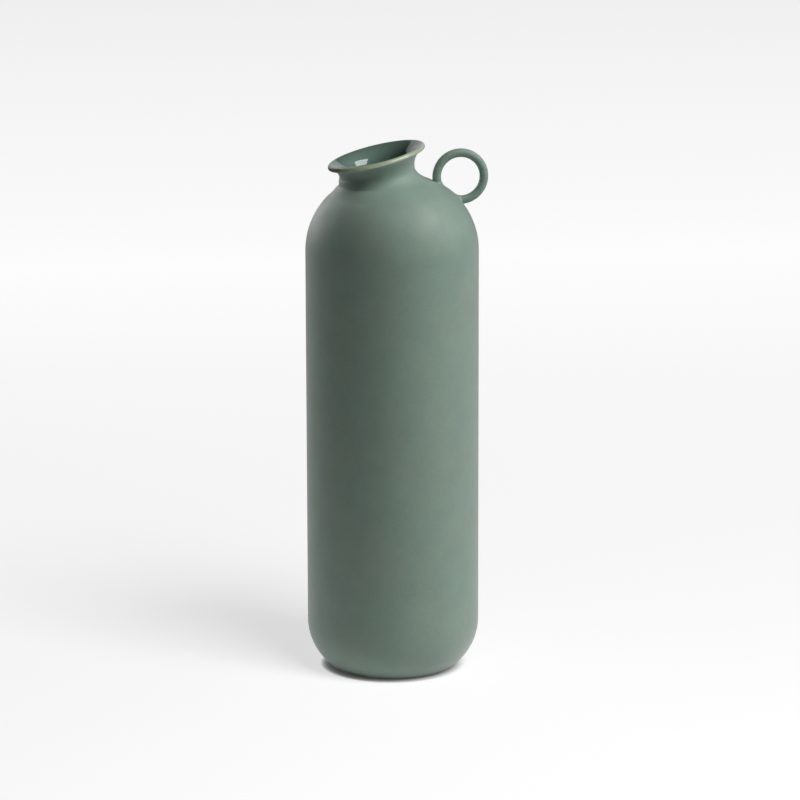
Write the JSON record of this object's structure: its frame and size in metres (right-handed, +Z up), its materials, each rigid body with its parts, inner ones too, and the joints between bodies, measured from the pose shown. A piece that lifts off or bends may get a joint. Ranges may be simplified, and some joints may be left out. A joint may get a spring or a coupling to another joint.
{
  "type": "vase",
  "caption": "Tall matte stoneware vase with a domed shoulder, short leaning neck, flared lip, small ring handle and glossy glazed inside.",
  "frame": {"origin": "centre of the round foot, on the plane it stands on", "axes": "+Z up along the straight body, +X towards the ring handle and the high side of the lip, -X towards the low side of the lip"},
  "size_m": [0.1058, 0.1, 0.3098],
  "materials": {
    "bare_stoneware": "matte, unglazed",
    "handle_stoneware": "matte, unglazed",
    "luting_slip": "matte, smoothed with a wet brush",
    "gloss_glaze": "clear gloss glaze"
  },
  "bodies": {
    "root": {"vessel_body": "bare_stoneware", "ring_handle": "handle_stoneware", "upper_slip_joint": "luting_slip", "lower_slip_joint": "luting_slip", "interior_glaze": "gloss_glaze"}
  },
  "joints": []
}
